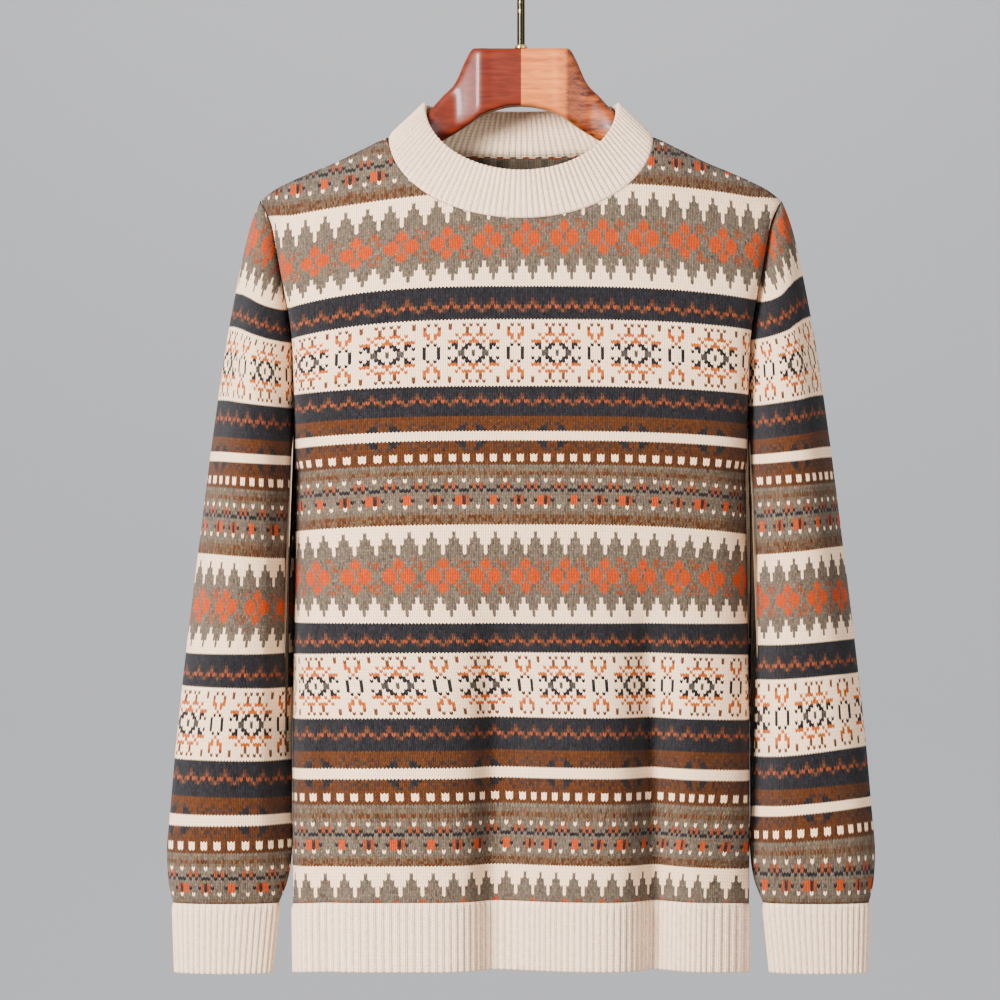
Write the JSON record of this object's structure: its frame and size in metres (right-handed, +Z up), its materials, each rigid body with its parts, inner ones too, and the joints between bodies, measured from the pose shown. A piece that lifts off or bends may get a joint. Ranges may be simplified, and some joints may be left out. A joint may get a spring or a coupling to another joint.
{
  "type": "fair isle jumper on a hanger",
  "caption": "Crew-neck wool jumper with fair isle bands and ribbed neck, hem and cuffs, hung filled out on a wooden hanger.",
  "frame": {"origin": "the point under the hook's bend where a rail carries the hanger", "axes": "+X to the viewer's right as seen from the front, the front faces -Y, +Z up"},
  "size_m": [0.5856, 0.1642, 0.8556],
  "materials": {
    "patterned_wool": "soft brushed wool jersey, stranded in brown, taupe, charcoal, orange and cream",
    "cream_rib": "soft oatmeal marl wool in one by one rib",
    "varnished_wood": "red-brown hardwood under clear gloss varnish",
    "dark_bronze": "dark bronze plated wire",
    "polished_brass": "polished brass"
  },
  "bodies": {
    "root": {"front_panel": "patterned_wool", "back_panel": "patterned_wool", "sleeve_left": "patterned_wool", "sleeve_right": "patterned_wool", "neck_rib": "cream_rib", "hem_rib_front": "cream_rib", "hem_rib_back": "cream_rib", "cuff_left": "cream_rib", "cuff_right": "cream_rib", "hanger_left": "varnished_wood", "hanger_right": "varnished_wood", "hanger_hook": "dark_bronze", "hanger_collar": "polished_brass"}
  },
  "joints": []
}
